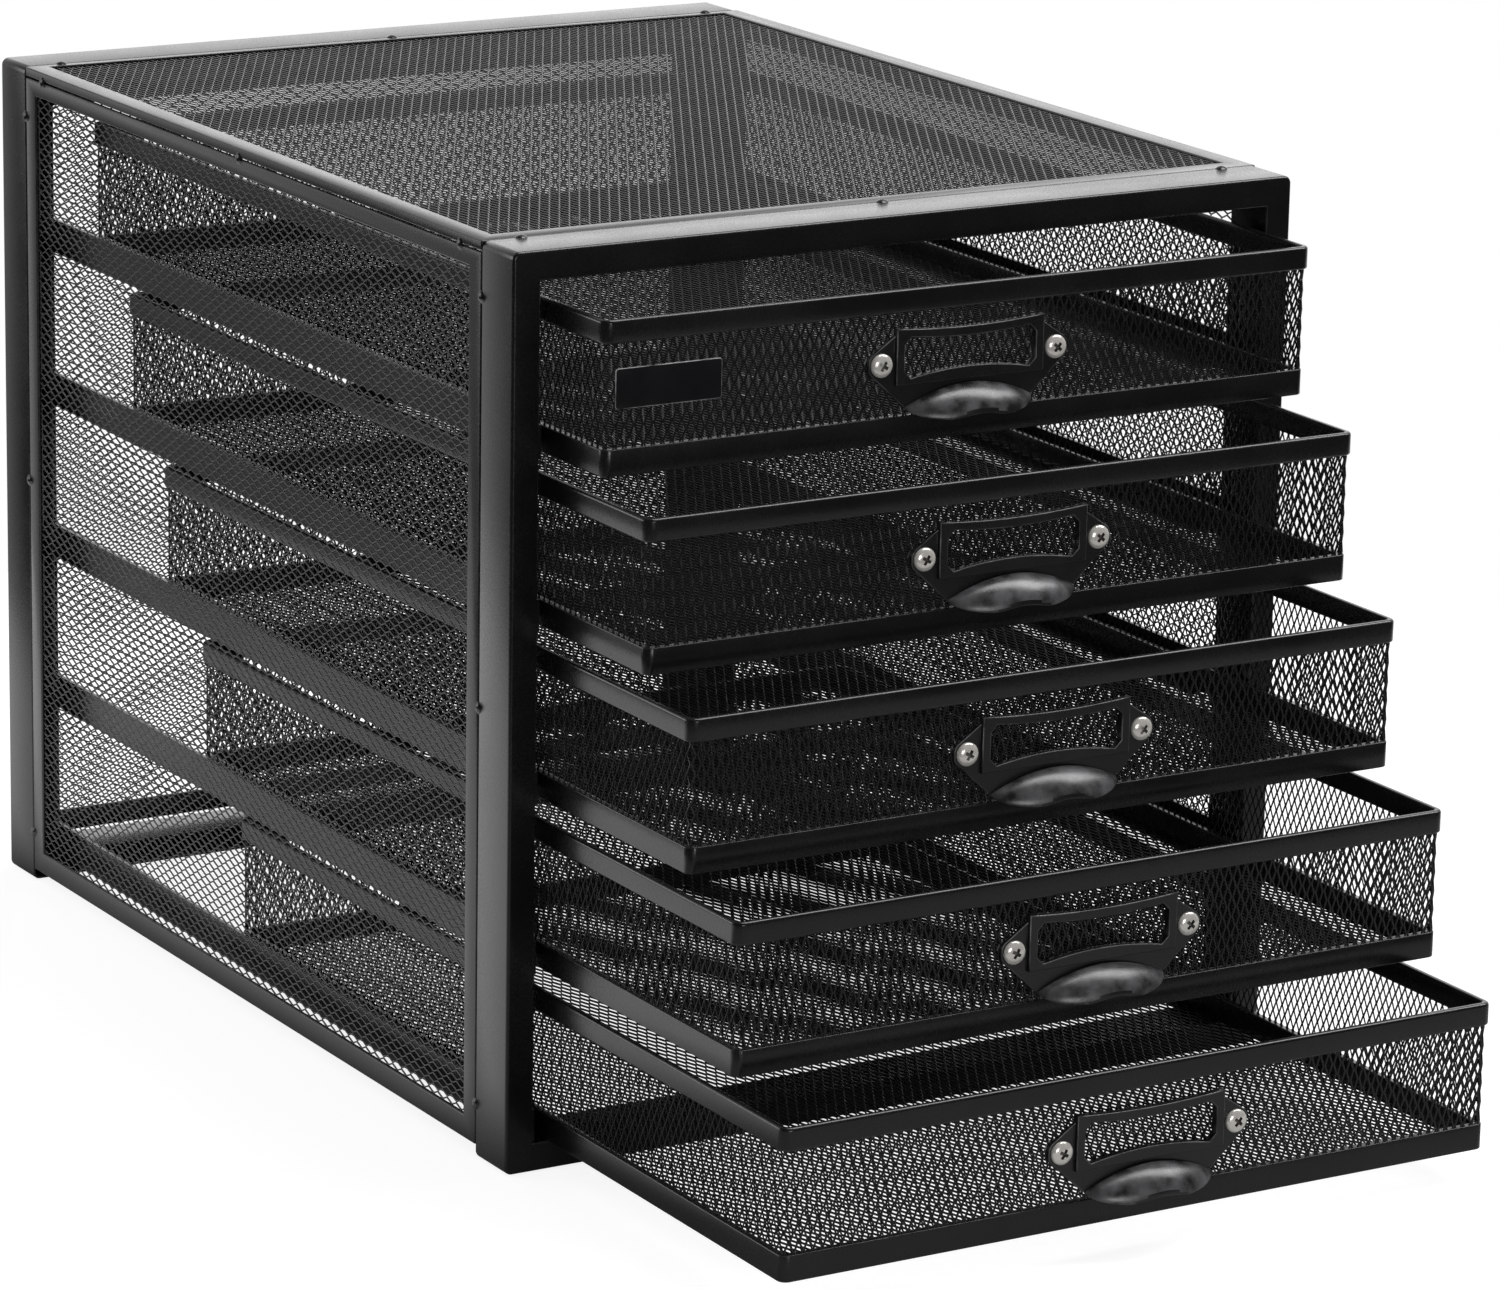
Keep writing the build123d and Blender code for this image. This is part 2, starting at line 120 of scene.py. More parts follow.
def buildStudio(s):
    scene.view_settings.view_transform = "Standard"
    for name, place, across, along, power, target in s["lamps"]:
        data = bpy.data.lights.new(name, "AREA")
        data.shape = "RECTANGLE"
        data.size, data.size_y, data.energy = across, along, power
        lamp = bpy.data.objects.new(name, data)
        lamp.location = place
        lamp.rotation_euler = (Vector(target) - Vector(place)).to_track_quat("-Z", "Y").to_euler()
        lamp.visible_camera = False
        scene.collection.objects.link(lamp)

    world = bpy.data.worlds.new("studio")
    scene.world = world
    world.use_nodes = True
    tree = world.node_tree
    tree.nodes.clear()
    path, seen = seenRays(tree)
    direction = wire(tree, "ShaderNodeTexCoord").outputs["Generated"]
    towards = wire(tree, "ShaderNodeVectorMath", {0: direction, 1: s["brightSide"]},
                   operation="DOT_PRODUCT")
    falloff = wire(tree, "ShaderNodeMapRange", {"Value": towards.outputs["Value"],
                                                "From Min": s["brightSpan"][0],
                                                "From Max": s["brightSpan"][1],
                                                "To Min": s["darkLevel"], "To Max": s["brightLevel"]})
    # white to the camera and through glass, and white with a dark side in reflections
    glossyLevel = wire(tree, "ShaderNodeMix", {0: path.outputs["Is Glossy Ray"], 2: 1.0,
                                               3: falloff.outputs[0]})
    level = wire(tree, "ShaderNodeMix", {0: seen, 2: s["ambient"], 3: glossyLevel.outputs[0]})
    background = wire(tree, "ShaderNodeBackground", {"Color": (1, 1, 1, 1), "Strength": level.outputs[0]})
    wire(tree, "ShaderNodeOutputWorld", {"Surface": background.outputs[0]})

    shape = bmesh.new()
    bmesh.ops.create_circle(shape, cap_ends=True, segments=s["floorSides"], radius=s["floorRadius"])
    data = bpy.data.meshes.new("floor")
    shape.to_mesh(data)
    shape.free()
    floor = bpy.data.objects.new("floor", data)
    floor.location = (0, 0, -s["floorDrop"])
    scene.collection.objects.link(floor)
    material = bpy.data.materials.new("paleFloor")
    material.use_nodes = True
    tree = material.node_tree
    tree.nodes.clear()
    path, seen = seenRays(tree)
    tone = s["floorTone"]
    matt = wire(tree, "ShaderNodeBsdfDiffuse", {"Color": (tone, tone, tone, 1)})
    place = wire(tree, "ShaderNodeSeparateXYZ", {0: wire(tree, "ShaderNodeTexCoord").outputs["Object"]})
    along = wire(tree, "ShaderNodeMapRange", {"Value": place.outputs["Y"],
                                              "From Min": s["floorSheenAlong"][0],
                                              "From Max": s["floorSheenAlong"][1]})
    aside = wire(tree, "ShaderNodeMath", {0: place.outputs["X"]}, operation="ABSOLUTE")
    across = wire(tree, "ShaderNodeMapRange", {"Value": aside.outputs[0],
                                               "From Min": s["floorSheenAcross"][0],
                                               "From Max": s["floorSheenAcross"][1]})
    beside = wire(tree, "ShaderNodeMath", {0: along.outputs[0], 1: across.outputs[0]}, operation="MULTIPLY")
    sheen = wire(tree, "ShaderNodeMapRange", {"Value": beside.outputs[0], "To Min": s["floorSheen"][0],
                                              "To Max": s["floorSheen"][1]})
    strength = wire(tree, "ShaderNodeMix", {0: path.outputs["Is Glossy Ray"], 2: s["floorGlow"],
                                            3: sheen.outputs[0]})
    glowLevel = wire(tree, "ShaderNodeMath", {0: seen, 1: strength.outputs[0]}, operation="MULTIPLY")
    glow = wire(tree, "ShaderNodeEmission", {"Color": (1, 1, 1, 1), "Strength": glowLevel.outputs[0]})
    both = wire(tree, "ShaderNodeAddShader", {0: matt.outputs[0], 1: glow.outputs[0]})
    wire(tree, "ShaderNodeOutputMaterial", {"Surface": both.outputs[0]})
    data.materials.append(material)


buildStudio(studioSettings)
print("studio ready")

# ---- finishes: sizes of the grain and the clouding in metres
finishes = {
    "powderCoat": {"colour": (0.0040, 0.0041, 0.0044), "cloud": (0.0075, 0.0077, 0.0081), "metallic": 0.0,
                   "specular": 0.5, "roughness": (0.20, 0.30), "cloudSize": 0.035,
                   "grainSize": 0.0009, "grainDepth": 0.00003,
                   # the wear colour lightens the rounded edges: partly real wear, partly a painted
                   # highlight line along them
                   "wearAndPaintedLight": (0.050, 0.050, 0.052), "wearAndLightAmount": 0.5},
    "meshCoat": {"colour": (0.0038, 0.0039, 0.0042), "cloud": (0.0080, 0.0082, 0.0086), "metallic": 0.0,
                 "specular": 0.5, "roughness": (0.20, 0.32), "cloudSize": 0.02,
                 "grainSize": 0.0006, "grainDepth": 0.00003},
    # a darker, duller copy of meshCoat for the drawers' floors: painted shade where the cabinet keeps light
    # off them
    "shadedFloorCoat": {"colour": (0.0036, 0.0037, 0.0039), "cloud": (0.0060, 0.0061, 0.0064), "metallic": 0.0,
                  "specular": 0.16, "roughness": (0.24, 0.36), "cloudSize": 0.02,
                  "grainSize": 0.0006, "grainDepth": 0.00003},
    "handlePlastic": {"colour": (0.0040, 0.0040, 0.0043), "cloud": (0.0065, 0.0065, 0.0068),
                      "metallic": 0.0, "specular": 0.65, "roughness": (0.26, 0.36), "cloudSize": 0.012,
                      "grainSize": 0.0005, "grainDepth": 0.00002,
                      # the wear colour here is a painted highlight along the handle's edges
                      "wearAndPaintedLight": (0.10, 0.10, 0.105), "wearAndLightAmount": 0.8},
    "nickel": {"colour": (0.86, 0.83, 0.78), "cloud": (0.76, 0.73, 0.68), "metallic": 0.5,
               "specular": 0.6, "roughness": (0.14, 0.26), "cloudSize": 0.002,
               "grainSize": 0.0003, "grainDepth": 0.000006,
               # the wear colour here is painted shade inside the screws' cross
               "wearAndPaintedLight": (0.13, 0.125, 0.115), "wearAndLightAmount": 1.0},
    "zinc": {"colour": (0.50, 0.51, 0.52), "cloud": (0.38, 0.39, 0.41), "metallic": 1.0,
             "specular": 0.5, "roughness": (0.28, 0.45), "cloudSize": 0.0015,
             "grainSize": 0.0004, "grainDepth": 0.00001},
    "plateBlack": {"colour": (0.0050, 0.0052, 0.0062), "cloud": (0.0075, 0.0077, 0.0088), "metallic": 0.0,
                   "specular": 0.5, "roughness": (0.14, 0.22), "cloudSize": 0.008,
                   "grainSize": 0.0004, "grainDepth": 0.00001,
                   "wearAndPaintedLight": (0.38, 0.38, 0.38), "wearAndLightAmount": 1.0},
}

noiseSettings = {
    "cloudDetail": 4.0, "cloudRoughness": 0.6, "cloudSpan": (0.3, 0.7), "grainDetail": 2.0,
    "patchScale": 160.0, "patchDetail": 3.0, "patchSpan": (0.35, 0.65),
    "sheenSpan": (0.75, 1.25), "bumpStrength": 0.6,
}


def buildFinish(name, s, n):
    material = bpy.data.materials.new(name)
    material.use_nodes = True
    tree = material.node_tree
    tree.nodes.clear()
    place = wire(tree, "ShaderNodeTexCoord").outputs["Object"]
    cloud = wire(tree, "ShaderNodeTexNoise", {"Vector": place, "Scale": 1 / s["cloudSize"],
                                              "Detail": n["cloudDetail"],
                                              "Roughness": n["cloudRoughness"]})
    grain = wire(tree, "ShaderNodeTexNoise", {"Vector": place, "Scale": 1 / s["grainSize"],
                                              "Detail": n["grainDetail"]})
    spread = wire(tree, "ShaderNodeMapRange", {"Value": cloud.outputs["Fac"],
                                               "From Min": n["cloudSpan"][0],
                                               "From Max": n["cloudSpan"][1]})
    tint = wire(tree, "ShaderNodeMix", {0: spread.outputs[0], 6: (*s["colour"], 1), 7: (*s["cloud"], 1)},
                data_type="RGBA")
    colour = tint.outputs[2]
    # the marked faces take the wear colour in patches: on the frame's edges partly wear and partly a
    # painted highlight, on the handle's edges a painted highlight, in the screws' cross painted shade
    if "wearAndPaintedLight" in s:
        edge = wire(tree, "ShaderNodeAttribute", attribute_name="wearAndPaintedLight")
        patchy = wire(tree, "ShaderNodeTexNoise", {"Vector": place, "Scale": n["patchScale"],
                                                   "Detail": n["patchDetail"]})
        patches = wire(tree, "ShaderNodeMapRange", {"Value": patchy.outputs["Fac"],
                                                    "From Min": n["patchSpan"][0],
                                                    "From Max": n["patchSpan"][1],
                                                    "To Max": s["wearAndLightAmount"]})
        amount = wire(tree, "ShaderNodeMath", {0: edge.outputs["Fac"], 1: patches.outputs[0]},
                      operation="MULTIPLY")
        markedTint = wire(tree, "ShaderNodeMix", {0: amount.outputs[0], 6: colour, 7: (*s["wearAndPaintedLight"], 1)},
                    data_type="RGBA")
        colour = markedTint.outputs[2]
    mixedGrain = wire(tree, "ShaderNodeMath", {0: cloud.outputs["Fac"], 1: grain.outputs["Fac"]},
                      operation="ADD")
    sheen = wire(tree, "ShaderNodeMapRange", {"Value": mixedGrain.outputs[0],
                                              "From Min": n["sheenSpan"][0],
                                              "From Max": n["sheenSpan"][1],
                                              "To Min": s["roughness"][0],
                                              "To Max": s["roughness"][1]})
    bump = wire(tree, "ShaderNodeBump", {"Height": grain.outputs["Fac"], "Distance": s["grainDepth"],
                                         "Strength": n["bumpStrength"]})
    shader = wire(tree, "ShaderNodeBsdfPrincipled", {"Base Color": colour, "Metallic": s["metallic"],
                                                     "Roughness": sheen.outputs[0],
                                                     "Specular IOR Level": s["specular"],
                                                     "Normal": bump.outputs[0]})
    wire(tree, "ShaderNodeOutputMaterial", {"Surface": shader.outputs[0]})
    return material


coats = {name: buildFinish(name, settings, noiseSettings) for name, settings in finishes.items()}
print("finishes ready")


def dress(node, coat):
    # a kept node of the frame gets its finish in each of its slots
    piece = nodes[node]
    if not piece.material_slots:
        piece.data.materials.append(coats[coat])
    for slot in piece.material_slots:
        slot.material = coats[coat]


def asPiece(name, mesh, body, replaced=()):
    piece = bpy.data.objects.new(name, mesh)
    scene.collection.objects.link(piece)
    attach(piece, body)
    if replaced:
        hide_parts(*replaced)
    return piece


def evaluated(piece):
    graph = bpy.context.evaluated_depsgraph_get()
    mesh = bpy.data.meshes.new_from_object(piece.evaluated_get(graph))
    bpy.data.objects.remove(piece)
    return mesh


def facingOut(mesh):
    shape = bmesh.new()
    shape.from_mesh(mesh)
    bmesh.ops.recalc_face_normals(shape, faces=shape.faces)
    shape.to_mesh(mesh)
    shape.free()


# ---- expanded metal, grown by Geometry Nodes: zigzag strands that run the long way of the cells
meshSettings = {
    "tilt": 22.0, "knuckle": 0.22,     # degrees, mm
    "panelStrand": (0.52, 0.26),       # width and thickness
    "wallStrand": (0.60, 0.38),
    "floorStrand": (0.55, 0.38),
    "panelCell": (5.9, 3.45), "topCell": (6.1, 3.4), "wallCell": (5.9, 3.15),        # long and short way
    "borderLap": 3.4,      # how far the sheet runs on inside its border
    "bandLap": 1.2,
    "wallLap": 2.2,
    "wallDepth": 1.2,      # from the rim's outline to the middle of the sheet
    "wallCorner": 3.4,     # the rim's outer corner radius
    "cornerSteps": 6,
}


def growExpandedMetal(bent):
    name = "bentExpandedMetal" if bent else "flatExpandedMetal"
    tree = bpy.data.node_groups.new(name, "GeometryNodeTree")
    tree.interface.new_socket("Geometry", in_out="OUTPUT", socket_type="NodeSocketGeometry")
    for label in ("Columns", "Rows"):
        tree.interface.new_socket(label, in_out="INPUT", socket_type="NodeSocketInt")
    for label in ("Half Long Pitch", "Half Short Pitch", "Strand Width", "Strand Thickness", "Tilt",
                  "Knuckle", "Path Width", "Path Depth", "Path Radius"):
        tree.interface.new_socket(label, in_out="INPUT", socket_type="NodeSocketFloat")
    tree.interface.new_socket("Coat", in_out="INPUT", socket_type="NodeSocketMaterial")
    given = wire(tree, "NodeGroupInput").outputs

    def maths(operation, *values):
        return wire(tree, "ShaderNodeMath", dict(enumerate(values)), operation=operation).outputs[0]

    def vector(x=0.0, y=0.0, z=0.0):
        return wire(tree, "ShaderNodeCombineXYZ", {0: x, 1: y, 2: z}).outputs[0]

    halfLong, halfShort = given["Half Long Pitch"], given["Half Short Pitch"]
    acrossKnuckle = maths("MULTIPLY", given["Knuckle"], maths("COSINE", given["Tilt"]))
    liftKnuckle = maths("MULTIPLY", given["Knuckle"], maths("SINE", given["Tilt"]))
    swing = maths("SUBTRACT", halfShort, maths("MULTIPLY", acrossKnuckle, 2.0))
    section = wire(tree, "GeometryNodeCurvePrimitiveQuadrilateral",
                   {"Width": given["Strand Width"], "Height": given["Strand Thickness"]})
    profile = wire(tree, "GeometryNodeTransform",
                   {"Geometry": section.outputs[0], "Rotation": vector(z=given["Tilt"])})
    stations = maths("ADD", given["Columns"], 1.0)
    rowSets = []
    for odd in (0, 1):
        line = wire(tree, "GeometryNodeMeshLine", {"Count": stations, "Offset": vector(x=halfLong)})
        strand = wire(tree, "GeometryNodeMeshToCurve", {"Mesh": line.outputs[0]})
        index = wire(tree, "GeometryNodeInputIndex").outputs[0]
        parity = maths("MODULO", maths("ADD", index, float(odd)), 2.0)
        sideways = maths("MULTIPLY_ADD", parity, swing, acrossKnuckle)
        outwards = maths("MULTIPLY", liftKnuckle, maths("MULTIPLY_ADD", parity, -2.0, 1.0))
        zigzag = wire(tree, "GeometryNodeSetPosition",
                      {"Geometry": strand.outputs[0], "Offset": vector(y=sideways, z=outwards)})
        steady = wire(tree, "GeometryNodeSetCurveNormal", {"Curve": zigzag.outputs[0]}, mode="Z_UP")
        ribbon = wire(tree, "GeometryNodeCurveToMesh", {"Curve": steady.outputs[0],
                                                        "Profile Curve": profile.outputs[0],
                                                        "Fill Caps": True})
        rows = maths("MULTIPLY_ADD", given["Rows"], 0.5, 0.5 - 0.5 * odd)
        start = vector(y=maths("MULTIPLY", halfShort, float(odd)))
        points = wire(tree, "GeometryNodeMeshLine",
                      {"Count": rows, "Start Location": start,
                       "Offset": vector(y=maths("MULTIPLY", halfShort, 2.0))})
        rowSets.append(wire(tree, "GeometryNodeInstanceOnPoints", {"Points": points.outputs[0],
                                                                   "Instance": ribbon.outputs[0]}))
    joined = wire(tree, "GeometryNodeJoinGeometry")
    for rowSet in reversed(rowSets):
        tree.links.new(rowSet.outputs[0], joined.inputs[0])
    result = wire(tree, "GeometryNodeRealizeInstances", {"Geometry": joined.outputs[0]}).outputs[0]
    if bent:
        # the short way runs round the drawer's rounded outline and the long way goes up
        outline = wire(tree, "GeometryNodeCurvePrimitiveQuadrilateral",
                       {"Width": given["Path Width"], "Height": given["Path Depth"]})
        path = wire(tree, "GeometryNodeFilletCurve", {"Curve": outline.outputs[0],
                                                      "Count": meshSettings["cornerSteps"],
                                                      "Radius": given["Path Radius"]}, mode="POLY")
        length = wire(tree, "GeometryNodeCurveLength", {"Curve": path.outputs[0]}).outputs[0]
        flat = wire(tree, "ShaderNodeSeparateXYZ", {0: wire(tree, "GeometryNodeInputPosition").outputs[0]})
        span = maths("MULTIPLY", given["Rows"], halfShort)
        along = maths("MULTIPLY", maths("DIVIDE", flat.outputs[1], span), length)
        travelled = maths("FLOORED_MODULO", along, length)
        sample = wire(tree, "GeometryNodeSampleCurve", {"Curves": path.outputs[0], "Length": travelled},
                      mode="LENGTH")
        outward = wire(tree, "ShaderNodeVectorMath", {0: sample.outputs["Tangent"], 1: (0, 0, 1)},
                       operation="CROSS_PRODUCT")
        proud = wire(tree, "ShaderNodeVectorMath", {0: outward.outputs[0], "Scale": flat.outputs[2]},
                     operation="SCALE")
        base = wire(tree, "ShaderNodeVectorMath", {0: sample.outputs["Position"], 1: proud.outputs[0]})
        raised = wire(tree, "ShaderNodeVectorMath", {0: base.outputs[0], 1: vector(z=flat.outputs[0])})
        result = wire(tree, "GeometryNodeSetPosition",
                      {"Geometry": result, "Position": raised.outputs[0]}).outputs[0]
    coated = wire(tree, "GeometryNodeSetMaterial", {"Geometry": result, "Material": given["Coat"]})
    wire(tree, "NodeGroupOutput", {0: coated.outputs[0]})
    return tree


flatMetal = growExpandedMetal(False)
bentMetal = growExpandedMetal(True)


def runTree(tree, inputs):
    holder = bpy.data.objects.new("grower", bpy.data.meshes.new("grower"))
    scene.collection.objects.link(holder)
    growth = holder.modifiers.new("growth", "NODES")
    growth.node_group = tree
    for item in tree.interface.items_tree:
        if item.in_out == "INPUT" and item.name in inputs:
            growth[item.identifier] = inputs[item.name]
    return evaluated(holder)


def strandInputs(columns, rows, halfLong, halfShort, tilt, strand, coat="meshCoat"):
    return {"Columns": columns, "Rows": rows, "Half Long Pitch": halfLong, "Half Short Pitch": halfShort,
            "Strand Width": strand[0] * mm, "Strand Thickness": strand[1] * mm, "Tilt": radians(tilt),
            "Knuckle": meshSettings["knuckle"] * mm, "Coat": coats[coat]}


def flatSheet(lowest, highest, longAxis, shortAxis, cell, tilt, strand, coat="meshCoat"):
    # fills the box between two corners, its strands the long way along one axis
    size = Vector(highest) - Vector(lowest)
    columns = round(2 * size[longAxis] / (cell[0] * mm))
    rows = round(2 * size[shortAxis] / (cell[1] * mm))
    halfLong, halfShort = size[longAxis] / columns, size[shortAxis] / rows
    mesh = runTree(flatMetal, strandInputs(columns, rows, halfLong, halfShort, tilt, strand, coat))
    outAxis = 3 - longAxis - shortAxis
    place = Vector(lowest)
    place[outAxis] = (lowest[outAxis] + highest[outAxis]) / 2
    turn = Matrix.Identity(4)
    for column, axis in enumerate((longAxis, shortAxis, outAxis)):
        for row in range(3):
            turn[row][column] = 1.0 if row == axis else 0.0
    mesh.transform(Matrix.Translation(place) @ turn)
    facingOut(mesh)
    return mesh


def grown(node, lap, laps=None):
    # a node's box, longer by the lap on the given axes
    lowest, highest = (Vector(point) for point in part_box(node))
    for axis, amount in enumerate(laps or lap):
        lowest[axis] -= amount * mm
        highest[axis] += amount * mm
    return lowest, highest


def buildPanels(s):
    lap = s["borderLap"]
    for side, tilt in (("left", s["tilt"]), ("right", s["tilt"])):
        low, high = grown(f"{side}_panel_mesh", (0, lap, lap))
        asPiece(f"{side}PanelSheet", flatSheet(low, high, 1, 2, s["panelCell"], tilt, s["panelStrand"]),
                "cabinet", [f"{side}_panel_mesh"])
    low, high = grown("top_panel_mesh", (lap, lap, 0))
    asPiece("topPanelSheet", flatSheet(low, high, 1, 0, s["topCell"], s["tilt"], s["panelStrand"]),
            "cabinet", ["top_panel_mesh"])
    low, high = grown("back_panel_mesh", (lap, 0, lap))
    asPiece("backPanelSheet", flatSheet(low, high, 0, 2, s["panelCell"], s["tilt"], s["panelStrand"]),
            "cabinet", ["back_panel_mesh"])


def buildDrawerSheets(s, number):
    body = f"drawer_{number}"
    rimLow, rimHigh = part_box(f"drawer_{number}_rim")
    bandLow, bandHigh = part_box(f"drawer_{number}_band")
    low, high = grown(f"drawer_{number}_floor", (s["bandLap"], s["bandLap"], 0))
    # the floors take the shaded copy of the mesh coat: painted shade
    sheet = flatSheet(low, high, 1, 0, s["topCell"], s["tilt"], s["floorStrand"], "shadedFloorCoat")
    asPiece(f"drawer{number}FloorSheet", sheet, body, [f"drawer_{number}_floor"])

    bottom, top = bandHigh[2] - s["wallLap"] * mm, rimLow[2] + s["wallLap"] * mm
    inset = s["wallDepth"] * mm
    width = rimHigh[0] - rimLow[0] - 2 * inset
    depth = rimHigh[1] - rimLow[1] - 2 * inset
    radius = s["wallCorner"] * mm - inset
    girth = 2 * (width + depth) - (8 - 2 * pi) * radius
    columns = round(2 * (top - bottom) / (s["wallCell"][0] * mm))
    rows = 2 * round(girth / (s["wallCell"][1] * mm))
    inputs = strandInputs(columns, rows, (top - bottom) / columns, girth / rows, s["tilt"], s["wallStrand"])
    inputs.update({"Path Width": width, "Path Depth": depth, "Path Radius": radius})
    mesh = runTree(bentMetal, inputs)
    mesh.transform(Matrix.Translation((0, (rimLow[1] + rimHigh[1]) / 2, bottom)))
    facingOut(mesh)
    asPiece(f"drawer{number}WallSheet", mesh, body, [f"drawer_{number}_walls"])


buildPanels(meshSettings)
for number in drawerNumbers:
    buildDrawerSheets(meshSettings, number)
print("expanded metal ready")

# ---- folded steel: the frame's pieces with rounded edges
foldSettings = {
    "mergeDistance": 2e-6, "flatAngle": 0.5, "sharpAngle": 38.0, "segments": 3,
    "frameEdge": 0.45, "borderEdge": 0.55, "rimEdge": 0.65, "bandEdge": 0.6, "plateEdge": 0.22,
    # height of the side borders' upper strip, in the frame and as it looks
    "sideTopStrip": (7.5, 5.3), "stripTolerance": 0.2,
}


def softened(node, name, body, coat, width):
    s = foldSettings
    mesh = nodes[node].data.copy()
    mesh.materials.clear()
    shape = bmesh.new()
    shape.from_mesh(mesh)
    if node in ("left_panel_border", "right_panel_border"):
        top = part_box(node)[1][2]
        drawnHeight, looksLike = (value * mm for value in s["sideTopStrip"])
        for vert in shape.verts:
            if abs(vert.co.z - (top - drawnHeight)) < s["stripTolerance"] * mm:
                vert.co.z = top - looksLike
    bmesh.ops.remove_doubles(shape, verts=shape.verts, dist=s["mergeDistance"])
    bmesh.ops.dissolve_limit(shape, angle_limit=radians(s["flatAngle"]), verts=shape.verts,
                             edges=shape.edges)
    for face in shape.faces:
        face.smooth = True
        face.material_index = 0
    shape.to_mesh(mesh)
    shape.free()
    for slotNumber in range(2):
        mesh.materials.append(coats[coat])
    blank = bpy.data.objects.new("blank", mesh)
    scene.collection.objects.link(blank)
    rounding = blank.modifiers.new("rounding", "BEVEL")
    rounding.width = width * mm
    rounding.segments = s["segments"]
    rounding.limit_method = "ANGLE"
    rounding.angle_limit = radians(s["sharpAngle"])
    rounding.harden_normals = True
    rounding.material = 1
    finished = evaluated(blank)
    # the rounded edges are marked, so that the finish can show them worn and paint a highlight line along
    # them
    marks = [float(face.material_index == 1) for face in finished.polygons]
    finished.attributes.new("wearAndPaintedLight", "FLOAT", "FACE").data.foreach_set("value", marks)
    finished.polygons.foreach_set("material_index", [0] * len(marks))
    finished.materials.pop(index=1)
    return asPiece(name, finished, body, [node])


for end in ("front", "rear"):
    softened(f"{end}_frame", f"{end}FrameRing", "cabinet", "powderCoat",
             foldSettings["frameEdge"])
for panel in ("left", "right", "top", "back"):
    softened(f"{panel}_panel_border", f"{panel}PanelFold", "cabinet", "powderCoat",
             foldSettings["borderEdge"])
for number in drawerNumbers:
    body = f"drawer_{number}"
    softened(f"{body}_rim", f"drawer{number}RimFold", body, "powderCoat",
             foldSettings["rimEdge"])
    softened(f"{body}_band", f"drawer{number}BandFold", body, "powderCoat",
             foldSettings["bandEdge"])
softened("name_plate", "barePlate", "drawer_1", "plateBlack", foldSettings["plateEdge"])
print("folded steel ready")

# ---- handle: plate with ears, label holder and finger pull, in mm from the middle of its two screws
handleSettings = {
    "plateThickness": 1.4, "holderRise": 1.2, "edge": 0.3,
    "holderHalfWidth": 25.6, "holderTop": 10.6, "holderBottom": 6.4, "dip": 1.2,
    "windowHalfWidth": 22.8, "windowTop": 7.8, "windowBottom": 4.6, "windowCorner": 2.2, "windowBow": 2.0,
    "earRoot": 8.4, "earReach": 34.5, "earTip": 2.2,
    "earShoulder": (0.8, 0.7), "earCut": 0.6, "earHeel": (0.6, 0.5),
    "pullHalfWidth": 22.2, "pullDrop": 13.4, "pullRise": 6.0, "pullDepth": 9.2, "pullWall": 1.1,
    "lobeReach": 11.5, "lobeDrop": 3.6, "lipMiddle": 2.0, "lipEdge": 0.25, "lipSharp": 50.0,
    # powers of the hood's curves
    "hoodFlare": 0.62, "hoodRound": 0.9, "hoodFall": 0.85, "lobeFade": 0.5,
    "holderSink": 0.6, "hoodSink": 0.15,
    # faces that get a painted highlight: how slanted, how small and how far out
    "highlightSlant": (0.15, 0.97), "highlightArea": 3e-6, "highlightLevel": 0.0008,
}


def arc(start, middle, end, steps=14):
    # points of a shallow arc, as a parabola through its middle
    return [(start[0] + (end[0] - start[0]) * i / steps,
             start[1] + (end[1] - start[1]) * i / steps
             + 4 * (middle - (start[1] + end[1]) / 2) * i * (steps - i) / steps ** 2)
            for i in range(steps + 1)]


def windowOutline(s):
    x, top, bottom, cut = s["windowHalfWidth"], s["windowTop"], -s["windowBottom"], s["windowCorner"]
    upper = arc((cut - x, top), top - s["dip"], (x - cut, top))
    lower = arc((x - cut, bottom), bottom + s["windowBow"], (cut - x, bottom))
    return upper + [(x, top - cut), (x, bottom + cut)] + lower + [(-x, bottom + cut), (-x, top - cut)]


def plateOutline(s):
    x, top, reach, tip = s["holderHalfWidth"], s["holderTop"], s["earReach"], s["earTip"]
    shoulder, cut, heel = s["earShoulder"], s["earCut"], s["earHeel"]
    upper = arc((-x, top), top - s["dip"], (x, top))
    right = [(x, s["earRoot"]), (reach - shoulder[0], tip + shoulder[1]), (reach, tip - cut),
             (reach, cut - tip), (reach - heel[0], -tip - heel[1]), (s["pullHalfWidth"], -s["pullDrop"])]
    left = [(-across, up) for across, up in reversed(right)]
    return upper + right + left


def holderOutline(s):
    x, top = s["holderHalfWidth"], s["holderTop"]
    return arc((-x, top), top - s["dip"], (x, top)) + [(x, -s["holderBottom"]), (-x, -s["holderBottom"])]


def cutSheet(outlines, thickness, edge):
    # a flat filled curve with rounded edges, its back on level 0
    data = bpy.data.curves.new("sheet", "CURVE")
    data.dimensions = "2D"
    data.fill_mode = "BOTH"
    for outline in outlines:
        spline = data.splines.new("POLY")
        spline.points.add(len(outline) - 1)
        for point, (x, y) in zip(spline.points, outline):
            point.co = (x * mm, y * mm, 0, 1)
        spline.use_cyclic_u = True
    data.extrude = (thickness / 2 - edge) * mm
    data.bevel_depth = edge * mm
    data.bevel_resolution = 2
    data.offset = -edge * mm
    blank = bpy.data.objects.new("sheet", data)
    scene.collection.objects.link(blank)
    mesh = evaluated(blank)
    mesh.transform(Matrix.Translation((0, 0, thickness / 2 * mm)))
    return mesh


